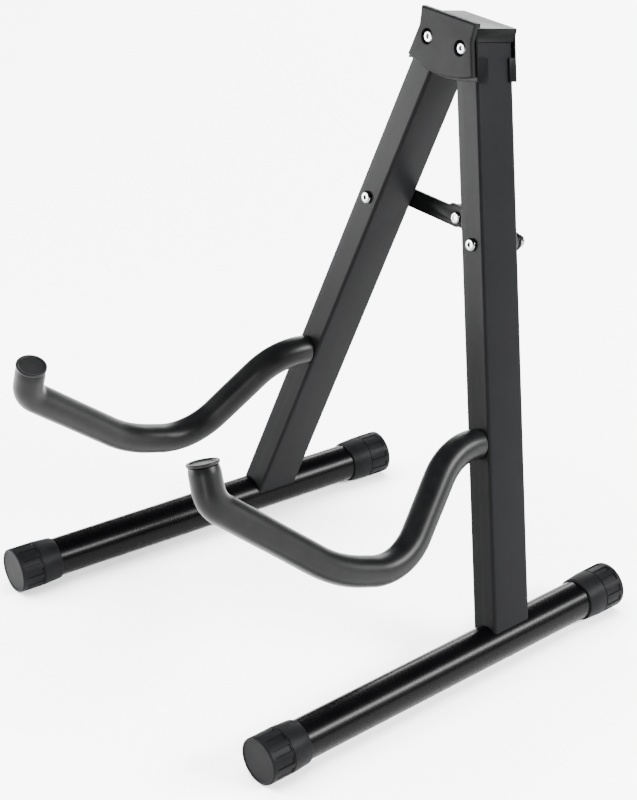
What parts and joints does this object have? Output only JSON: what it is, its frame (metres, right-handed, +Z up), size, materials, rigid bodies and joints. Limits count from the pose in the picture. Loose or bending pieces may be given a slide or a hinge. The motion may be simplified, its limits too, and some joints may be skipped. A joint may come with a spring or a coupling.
{
  "type": "guitar stand",
  "caption": "Folding A-frame floor stand for a guitar: hinged legs on level foot tubes, foam-covered arms, a padded neck rest and a folding brace.",
  "frame": {"origin": "on the floor, under the middle of the stand", "axes": "+Z up, -Y the side the guitar stands on, +X to the right leg as seen from behind the guitar side"},
  "size_m": [0.2946, 0.3046, 0.3723],
  "materials": {
    "bracket_paint": "satin black paint on folded sheet",
    "leg_paint": "satin black powder coat",
    "foot_paint": "gloss black paint",
    "rod_paint": "satin black paint",
    "brace_paint": "satin black paint",
    "pad_rubber": "matt dark grey rubber",
    "cap_rubber": "matt dark grey rubber with grip grooves",
    "sleeve_foam": "matt black closed-cell foam",
    "plug_plastic": "matt black moulded plastic",
    "washer_plastic": "black nylon",
    "zinc_steel": "bright zinc plate"
  },
  "bodies": {
    "head": {"head_bracket": "bracket_paint", "head_pad": "pad_rubber", "left_head_bolt": "zinc_steel", "left_head_nut": "zinc_steel", "right_head_bolt": "zinc_steel", "right_head_nut": "zinc_steel"},
    "left_leg": {"left_leg_tube": "leg_paint", "left_foot_tube": "foot_paint", "left_front_cap": "cap_rubber", "left_rear_cap": "cap_rubber", "left_arm_rod": "rod_paint", "left_arm_foam": "sleeve_foam", "left_arm_plug": "plug_plastic", "left_brace_bolt": "zinc_steel", "left_brace_washer": "washer_plastic", "left_brace_nut": "zinc_steel"},
    "right_leg": {"right_leg_tube": "leg_paint", "right_foot_tube": "foot_paint", "right_front_cap": "cap_rubber", "right_rear_cap": "cap_rubber", "right_arm_rod": "rod_paint", "right_arm_foam": "sleeve_foam", "right_arm_plug": "plug_plastic", "right_brace_bolt": "zinc_steel", "right_brace_washer": "washer_plastic", "right_brace_nut": "zinc_steel"},
    "left_link": {"left_brace_link": "brace_paint", "brace_rivet": "zinc_steel"},
    "right_link": {"right_brace_link": "brace_paint", "brace_rivet_tail": "zinc_steel"}
  },
  "joints": [
    {"name": "left_leg_hinge", "type": "hinge", "parent": "head", "child": "left_leg", "pos_m": [-0.015, 0.12028, 0.3519], "axis": [0, -0.982, 0.1891], "range_deg": [0, 17.2]},
    {"name": "right_leg_hinge", "type": "hinge", "parent": "head", "child": "right_leg", "pos_m": [0.015, 0.12028, 0.3519], "axis": [0, 0.982, -0.1891], "range_deg": [0, 17.2]},
    {"name": "left_brace_hinge", "type": "hinge", "parent": "left_leg", "child": "left_link", "pos_m": [-0.04952, 0.09919, 0.24241], "axis": [0, -0.982, 0.1891], "range_deg": [0, 55.2]},
    {"name": "right_brace_hinge", "type": "hinge", "parent": "right_leg", "child": "right_link", "pos_m": [0.04952, 0.09919, 0.24241], "axis": [0, 0.982, -0.1891], "range_deg": [0, 55.2]}
  ],
  "couplings": [
    {"joint": "right_leg_hinge", "follows": "left_leg_hinge", "ratio": 1},
    {"joint": "left_brace_hinge", "follows": "left_leg_hinge", "ratio": 3.2073},
    {"joint": "right_brace_hinge", "follows": "left_leg_hinge", "ratio": 3.2073}
  ]
}
